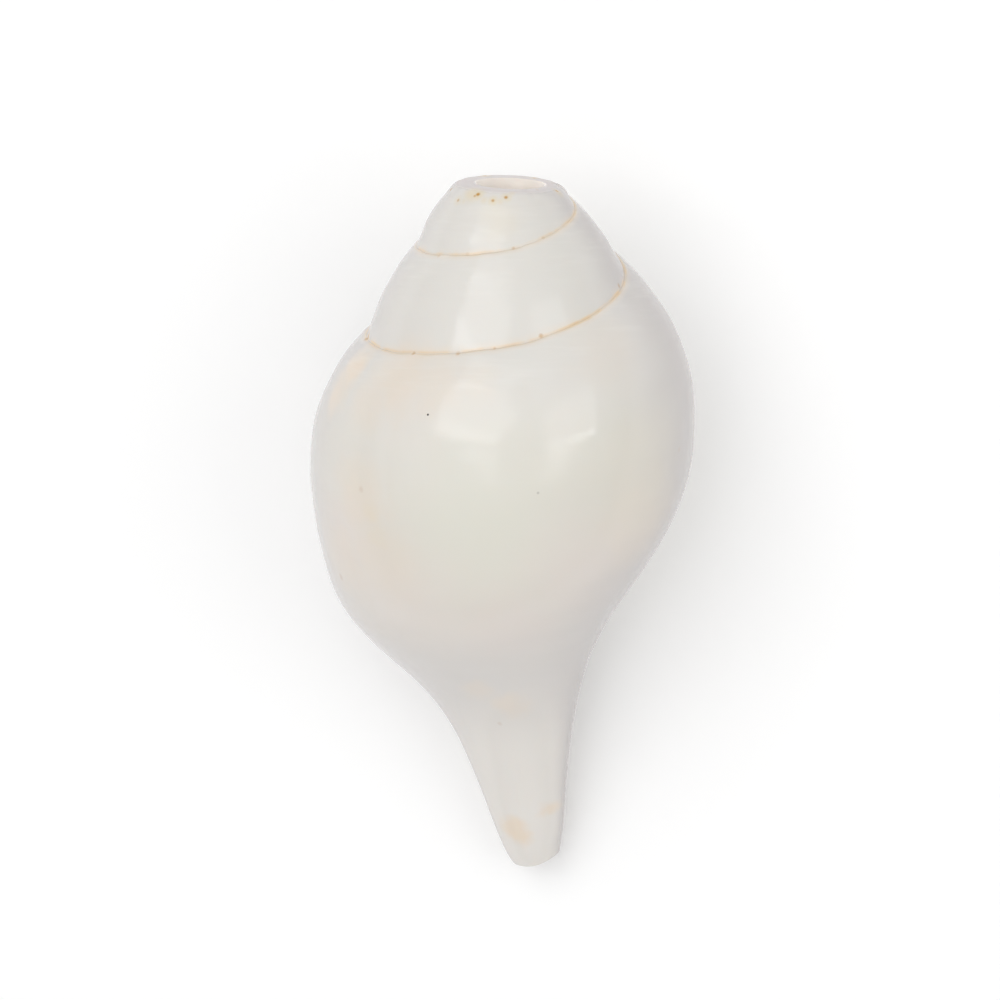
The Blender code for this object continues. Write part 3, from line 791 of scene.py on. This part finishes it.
# Tones of the shell.
BODY_CREAM = (0.750, 0.724, 0.664)
BODY_WARM = (0.760, 0.715, 0.664)
BODY_GREENISH = (0.735, 0.730, 0.674)
VEIL_PALE = (0.785, 0.765, 0.724)
BAND_TAN = (0.725, 0.695, 0.627)
CANAL_GREY = (0.725, 0.694, 0.664)
CANAL_END_CREAM = (0.802, 0.768, 0.723)
SPIRE_GREY = (0.735, 0.715, 0.680)
# Painted shade: the grey toward which the shell's sides are darkened.
SIDE_SHADE_GREY = (0.560, 0.525, 0.515)
SUTURE_TAN = (0.78, 0.60, 0.39)
GROWTH_LINE_PALE = (0.83, 0.81, 0.77)
INSIDE_PALE = (0.895, 0.830, 0.765)
SAWN_GREY = (0.70, 0.645, 0.635)
SPECK_ORANGE = (0.52, 0.27, 0.05)
SPECK_DARK = (0.015, 0.012, 0.01)
SPECK_PINK = (0.60, 0.46, 0.36)
HALO_YELLOW = (0.76, 0.64, 0.42)
STAIN_PEACH = (0.82, 0.70, 0.57)
STAIN_YELLOW = (0.79, 0.71, 0.55)
TINT_GREEN = (0.735, 0.725, 0.635)
TINT_PINK = (0.785, 0.715, 0.665)

# How far the edges of stains and of specks wander, in metres.
STAIN_WANDER = 0.007
SPECK_WANDER = 0.0010

# Marks on the shell, as (angle around the axis in degrees, level, radius, strength). About half of their
# places were worked out by a ray-cast made outside this script, and the others were set by hand.
RIM_SPECKS = (
    (178.0, 20.0, 0.46, 1.0),
    (146.0, 20.6, 0.36, 0.55),
    (121.2, 18.5, 0.44, 1.0),
    (124.6, 19.2, 0.30, 0.6),
    (101.2, 19.7, 0.36, 0.8),
    (86.5, 19.1, 0.37, 0.85),
    (36.0, 17.6, 0.35, 0.3),
    (14.4, 21.1, 0.42, 0.75),
    (252.0, 21.0, 0.42, 0.8),
    (305.0, 21.6, 0.38, 0.7),
)
RIM_HALOS = (
    (146.0, 20.6, 1.1, 0.35),
    (137.0, 20.3, 0.7, 0.30),
    (130.0, 18.4, 2.0, 0.50),
    (121.5, 18.6, 1.3, 0.70),
    (111.0, 19.6, 0.8, 0.35),
    (101.2, 19.7, 1.0, 0.55),
    (93.5, 19.8, 0.7, 0.35),
    (86.0, 19.0, 1.0, 0.50),
    (79.0, 18.2, 0.7, 0.30),
    (14.4, 21.4, 1.3, 0.40),
    (252.0, 21.0, 1.5, 0.50),
    (305.0, 21.6, 1.2, 0.40),
)
SUTURE_SPECKS = (
    (181.1, 52.4, 0.60, 0.55),
    (180.0, 53.3, 1.00, 0.85),
    (136.4, 50.9, 0.48, 0.55),
    (114.8, 49.5, 0.48, 0.50),
    (98.9, 48.3, 0.32, 0.35),
    (78.0, 46.6, 0.48, 0.50),
    (22.5, 42.8, 0.50, 0.45),
    (118.7, 30.7, 0.45, 0.22),
    (141.2, 31.9, 0.45, 0.20),
    (85.9, 29.5, 0.36, 0.35),
    (61.5, 28.6, 0.34, 0.25),
    (240.0, 57.6, 0.40, 0.35),
    (300.0, 63.0, 0.45, 0.35),
)
DARK_SPECKS = ((120.9, 61.0, 0.24, 1.0), (86.6, 78.5, 0.30, 0.22))
PINK_SPECKS = (
    (143.4, 80.1, 0.7, 0.28),
    (162.2, 106.2, 0.8, 0.40),
    (29.4, 79.6, 0.6, 0.25),
    (126.2, 145.7, 0.5, 0.25),
)
PEACH_STAINS = (
    (136.9, 55.0, 8.0, 0.50),
    (121.0, 55.0, 6.5, 0.35),
    (146.0, 61.0, 6.0, 0.35),
    (164.9, 57.4, 4.8, 0.85),
    (168.5, 63.0, 5.0, 0.65),
    (137.0, 96.0, 9.0, 0.30),
    (50.0, 92.0, 10.0, 0.25),
    (55.0, 52.0, 8.0, 0.18),
    (106.0, 54.0, 5.0, 0.20),
    (143.0, 82.0, 8.0, 0.40),
    (157.0, 100.0, 8.0, 0.30),
    (147.0, 176.6, 3.2, 0.85),
    (88.0, 171.2, 2.4, 0.75),
    (128.0, 135.0, 4.0, 0.28),
    (113.0, 139.7, 3.5, 0.38),
)
YELLOW_STAINS = (
    (138.8, 86.0, 2.4, 0.35),
    (139.0, 90.5, 2.2, 0.25),
    (51.3, 79.0, 12.0, 0.15),
    (95.0, 23.5, 4.0, 0.25),
)
GREEN_TINTS = (
    (104.0, 93.0, 20.0, 0.70),
    (90.0, 86.0, 18.0, 0.50),
    (62.0, 74.0, 12.0, 0.25),
    (75.0, 36.0, 12.0, 0.35),
)
PINK_TINTS = (
    (100.0, 115.0, 15.0, 0.80),
    (130.0, 112.0, 18.0, 0.60),
    (72.0, 104.0, 16.0, 0.70),
    (155.0, 92.5, 10.0, 0.60),
)


class Nodes:
    """Shorthand for adding linked shader nodes to one material."""

    def __init__(self, tree):
        self.tree = tree

    def add(self, kind, inputs, output=0, **settings):
        node = self.tree.nodes.new(kind)
        for name, value in settings.items():
            setattr(node, name, value)
        for key, value in inputs.items():
            if isinstance(value, bpy.types.NodeSocket):
                self.tree.links.new(value, node.inputs[key])
            else:
                node.inputs[key].default_value = value
        return node.outputs[output]

    def math(self, operation, first, second=0.0):
        return self.add("ShaderNodeMath", {0: first, 1: second}, operation=operation)

    def ramp(self, value, low, high, at_low=0.0, at_high=1.0):
        """Smoothly from at_low to at_high as value goes from low to high."""
        inputs = {"Value": value, "From Min": low, "From Max": high, "To Min": at_low, "To Max": at_high}
        return self.add("ShaderNodeMapRange", inputs, interpolation_type="SMOOTHSTEP")

    def tint(self, colour, other, share):
        """The colour turned toward the other by a share."""
        inputs = {0: share, 6: colour, 7: (*other, 1.0)}
        return self.add("ShaderNodeMix", inputs, output=2, data_type="RGBA")

    def noise(self, at, scale, detail=2.0):
        return self.add("ShaderNodeTexNoise", {"Vector": at, "Scale": scale, "Detail": detail})

    def attribute(self, name):
        return self.add("ShaderNodeAttribute", {}, output=2, attribute_name=name)

    def stretched(self, at, x, y, z):
        return self.add("ShaderNodeVectorMath", {0: at, 1: (x, y, z)}, operation="MULTIPLY")


def add_marks(nodes, colour, at, marks, tone, softness, place):
    """Spots of one tone at the given places: softness is the share of the radius over which they fade."""
    covered = None
    for angle, level, radius, strength in marks:
        centre = place(angle, level)
        away = nodes.add("ShaderNodeVectorMath", {0: at, 1: centre}, output=1, operation="DISTANCE")
        reach = radius * METRES
        spot = nodes.ramp(away, reach * (1.0 - softness), reach * (1.0 + softness), strength, 0.0)
        covered = spot if covered is None else nodes.math("MAXIMUM", covered, spot)
    return nodes.tint(colour, tone, covered)


def body_colour(nodes, at, along, place):
    """Cream with clouds and faint bands, greyer on the spire and at the canal's start, paler at its end."""
    clouds = nodes.noise(at, 28.0, 3.0)
    veil = nodes.noise(nodes.stretched(at, 1.0, 0.35, 1.0), 90.0, 3.0)
    bands = nodes.noise(nodes.stretched(at, 0.12, 1.0, 0.12), 260.0, 2.0)
    colour = nodes.add("ShaderNodeRGB", {})
    colour.default_value = (*BODY_CREAM, 1.0)
    colour = nodes.tint(colour, BODY_WARM, nodes.ramp(clouds, 0.42, 0.70, 0.0, 0.75))
    colour = nodes.tint(colour, BODY_GREENISH, nodes.ramp(clouds, 0.50, 0.30, 0.0, 0.60))
    colour = nodes.tint(colour, VEIL_PALE, nodes.ramp(veil, 0.50, 0.75, 0.0, 0.45))
    colour = nodes.tint(colour, BAND_TAN, nodes.ramp(bands, 0.55, 0.75, 0.0, 0.10))
    colour = add_marks(nodes, colour, at, GREEN_TINTS, TINT_GREEN, 0.8, place)
    colour = add_marks(nodes, colour, at, PINK_TINTS, TINT_PINK, 0.8, place)
    colour = nodes.tint(colour, CANAL_GREY, nodes.ramp(along, -0.018, -0.036, 0.0, 0.9))
    colour = nodes.tint(colour, CANAL_END_CREAM, nodes.ramp(along, -0.038, -0.054, 0.0, 0.9))
    return nodes.tint(colour, SPIRE_GREY, nodes.ramp(along, 0.020, 0.040, 0.0, 0.7))


def painted_side_shade(nodes, colour):
    """The colour turned toward a painted shade of grey on the sides, and less where the surface faces down.
    """
    normal = nodes.add("ShaderNodeTexCoord", {}, output=1)
    upward = nodes.add("ShaderNodeSeparateXYZ", {0: normal}, output=2)
    # Painted shade, strongest where the surface faces sideways.
    side = nodes.ramp(upward, 0.75, 0.05, 0.0, 0.95)
    not_below = nodes.ramp(upward, -0.70, -0.20)
    return nodes.tint(colour, SIDE_SHADE_GREY, nodes.math("MULTIPLY", side, not_below))


def wandering(nodes, at, drift, reach):
    """The place moved about by a share of the drift, which gives a mark an uneven edge."""
    moved = nodes.add("ShaderNodeVectorMath", {0: drift, "Scale": reach}, operation="SCALE")
    return nodes.add("ShaderNodeVectorMath", {0: at, 1: moved}, operation="ADD")


def suture_colour(nodes, colour, at, across, below, above):
    """A patchy orange-tan thread, stronger away from the middle, with a faint peach margin on each side."""
    patchy = nodes.noise(at, 220.0, 2.0)
    margin = nodes.ramp(above, 2.4, 0.0, 0.0, 0.40)
    colour = nodes.tint(colour, STAIN_PEACH, nodes.math("MULTIPLY", margin, nodes.ramp(patchy, 0.35, 0.60)))
    colour = nodes.tint(colour, STAIN_PEACH, nodes.ramp(below, 1.6, 0.2, 0.0, 0.35))
    thread = nodes.math("MAXIMUM", nodes.ramp(below, 0.45, 0.05), nodes.ramp(above, 0.85, 0.20))
    thread = nodes.math("MULTIPLY", thread, nodes.ramp(patchy, 0.30, 0.65, 0.20, 0.80))
    sideways = nodes.math("ABSOLUTE", across)
    thread = nodes.math("MULTIPLY", thread, nodes.ramp(sideways, 0.016, 0.028, 0.75, 1.5))
    return nodes.tint(colour, SUTURE_TAN, thread)


def add_polish(nodes, surface, at, lines, kept, sawn):
    """A hand-rubbed polish: glossy in parts, with fine scuffs, and growth lines left under the sutures."""
    scuffs = nodes.noise(at, 700.0, 2.0)
    rough = nodes.ramp(nodes.noise(at, 60.0, 3.0), 0.3, 0.7, 0.10, 0.17)
    rough = nodes.math("ADD", rough, nodes.ramp(scuffs, 0.40, 0.80, 0.0, 0.03))
    rough = nodes.math("ADD", rough, nodes.ramp(sawn, 0.4, 1.0, 0.0, 0.30))
    nodes.tree.links.new(rough, surface.inputs["Roughness"])
    pebbles = nodes.noise(at, 420.0, 2.0)
    relief = nodes.math("ADD", nodes.math("MULTIPLY", lines, kept), nodes.math("MULTIPLY", pebbles, 0.45))
    relief = nodes.math("ADD", relief, nodes.math("MULTIPLY", scuffs, 0.08))
    bump = nodes.add("ShaderNodeBump", {"Height": relief, "Distance": 0.00007, "Strength": 0.7})
    nodes.tree.links.new(bump, surface.inputs["Normal"])
    surface.inputs["Subsurface Weight"].default_value = 0.10
    surface.inputs["Subsurface Radius"].default_value = (1.0, 0.7, 0.5)
    surface.inputs["Subsurface Scale"].default_value = 0.002
    surface.inputs["IOR"].default_value = 1.53


def shell_material(shell, to_model):
    def place(angle, level):
        """The point of the finished surface nearest to a place on the unworn outside."""
        return shell.closest_point_on_mesh(to_model @ surface_point(angle, level))[1]

    material = bpy.data.materials.new("polished shell")
    material.use_nodes = True
    nodes = Nodes(material.node_tree)
    surface = material.node_tree.nodes["Principled BSDF"]
    at = nodes.add("ShaderNodeTexCoord", {}, output=3)
    across = nodes.add("ShaderNodeSeparateXYZ", {0: at}, output=0)
    along = nodes.add("ShaderNodeSeparateXYZ", {0: at}, output=1)
    below, above, inside, sawn = [nodes.attribute(name) for name in LAYERS]
    # The body's tones, with painted shade on the sides.
    colour = painted_side_shade(nodes, body_colour(nodes, at, along, place))

    # Stains that the polish didn't reach.
    wander = nodes.add("ShaderNodeTexNoise", {"Vector": at, "Scale": 160.0, "Detail": 3.0}, output=1)
    drift = nodes.add("ShaderNodeVectorMath", {0: wander, 1: (0.5, 0.5, 0.5)}, operation="SUBTRACT")
    loosely = wandering(nodes, at, drift, STAIN_WANDER)
    colour = add_marks(nodes, colour, loosely, YELLOW_STAINS, STAIN_YELLOW, 0.8, place)
    colour = add_marks(nodes, colour, loosely, PEACH_STAINS, STAIN_PEACH, 0.7, place)
    colour = suture_colour(nodes, colour, at, across, below, above)

    # Growth lines, clearest just below each suture.
    lines = nodes.noise(nodes.stretched(at, 0.12, 1.0, 0.12), 800.0, 2.0)
    kept = nodes.ramp(below, 14.0, 5.0, 0.08, 1.0)
    pale = nodes.math("MULTIPLY", kept, nodes.ramp(lines, 0.45, 0.70, 0.0, 0.15))
    colour = nodes.tint(colour, GROWTH_LINE_PALE, pale)

    # The pale, porcelain-like inside and the sawn rim.
    colour = nodes.tint(colour, INSIDE_PALE, nodes.ramp(inside, 0.6, 1.4))
    colour = nodes.tint(colour, SAWN_GREY, nodes.ramp(sawn, 0.5, 1.0, 0.0, 0.9))

    # Pits with orange dirt in them around the rim and along the sutures, pinkish specks and two dark dots.
    tightly = wandering(nodes, at, drift, SPECK_WANDER)
    colour = add_marks(nodes, colour, tightly, RIM_HALOS, HALO_YELLOW, 0.8, place)
    colour = add_marks(nodes, colour, tightly, PINK_SPECKS, SPECK_PINK, 0.6, place)
    colour = add_marks(nodes, colour, tightly, RIM_SPECKS + SUTURE_SPECKS, SPECK_ORANGE, 0.7, place)
    colour = add_marks(nodes, colour, at, DARK_SPECKS, SPECK_DARK, 0.4, place)
    material.node_tree.links.new(colour, surface.inputs["Base Color"])
    add_polish(nodes, surface, at, lines, kept, sawn)
    return material


def light_table():
    """A plain white table, lit a little from below."""
    material = bpy.data.materials.new("light table")
    material.use_nodes = True
    surface = material.node_tree.nodes["Principled BSDF"]
    surface.inputs["Base Color"].default_value = (TABLE_TONE, TABLE_TONE, TABLE_TONE, 1.0)
    surface.inputs["Roughness"].default_value = 0.9
    surface.inputs["Emission Color"].default_value = (1.0, 1.0, 1.0, 1.0)
    surface.inputs["Emission Strength"].default_value = TABLE_GLOW
    return material


def add_floor():
    bpy.ops.mesh.primitive_plane_add(size=FLOOR_SIZE, location=(0.0, 0.0, 0.0))
    floor = bpy.context.object
    floor.name = "floor"
    floor.data.materials.append(light_table())


def view_turn():
    """From the shell's own axes to the camera's: looking down its back, the apex leaning to the left."""
    roll = Matrix.Rotation(math.radians(VIEW_ROLL_DEG), 4, "Z")
    rise = Matrix.Rotation(math.radians(VIEW_RISE_DEG), 4, "X")
    return roll @ rise


def add_camera(to_model):
    data = bpy.data.cameras.new("camera")
    data.lens = VIEW_LENS
    data.sensor_width = 36.0
    data.clip_end = 20.0
    camera = bpy.data.objects.new("camera", data)
    bpy.context.scene.collection.objects.link(camera)
    shell_from_view = view_turn().inverted() @ Matrix.Translation(-Vector(APEX_IN_VIEW))
    at = to_model @ shell_from_view @ Vector((0.0, 0.0, VIEW_DISTANCE))
    turned = (to_model @ shell_from_view).to_3x3().normalized()
    camera.matrix_world = Matrix.Translation(at) @ turned.to_4x4()
    bpy.context.scene.camera = camera
    return camera


def add_softbox(camera, name, across_deg, up_deg, size, brightness, turn_deg):
    """A softbox seen from the shell at an angle across and up from the camera, turned about that line."""
    data = bpy.data.lights.new(name, "AREA")
    data.shape = "RECTANGLE"
    data.size = size[0]
    data.size_y = size[1]
    data.energy = brightness * math.pi * size[0] * size[1]
    lamp = bpy.data.objects.new(name, data)
    bpy.context.scene.collection.objects.link(lamp)
    across = math.radians(across_deg)
    up = math.radians(up_deg)
    seen_from = camera.matrix_world.to_3x3()
    flat = math.cos(up)
    toward = seen_from @ Vector((math.sin(across) * flat, math.sin(up), math.cos(across) * flat))
    level = (seen_from @ Vector((0.0, 1.0, 0.0))).cross(toward).normalized()
    axes = Matrix((level, toward.cross(level), toward)).transposed()
    place = Matrix.Translation(Vector(LIT_POINT) + SOFTBOX_DISTANCE * toward)
    lamp.matrix_world = place @ axes.to_4x4() @ Matrix.Rotation(math.radians(turn_deg), 4, "Z")


def add_dome():
    """A pale studio all round, brighter overhead and dimmer on the right."""
    world = bpy.data.worlds.new("studio")
    bpy.context.scene.world = world
    world.use_nodes = True
    nodes = Nodes(world.node_tree)
    direction = nodes.add("ShaderNodeTexCoord", {}, output=0)
    height = nodes.add("ShaderNodeSeparateXYZ", {0: direction}, output=2)
    right = nodes.add("ShaderNodeSeparateXYZ", {0: direction}, output=0)
    glow = nodes.ramp(height, 0.0, 0.9, SKY_LOW, SKY_TOP)
    glow = nodes.math("SUBTRACT", glow, nodes.ramp(right, 0.0, 0.8, 0.0, SKY_RIGHT_DIM))
    background = world.node_tree.nodes["Background"]
    background.inputs["Color"].default_value = (1.0, 1.0, 1.0, 1.0)
    world.node_tree.links.new(glow, background.inputs["Strength"])


shell, to_model = build_shell()
shell.data.materials.clear()
shell.data.materials.append(shell_material(shell, to_model))
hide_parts("conch_shell")
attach(shell, "root")
add_floor()
camera = add_camera(to_model)
add_dome()
for softbox in SOFTBOXES:
    add_softbox(camera, *softbox)
bpy.context.scene.view_settings.view_transform = "Standard"
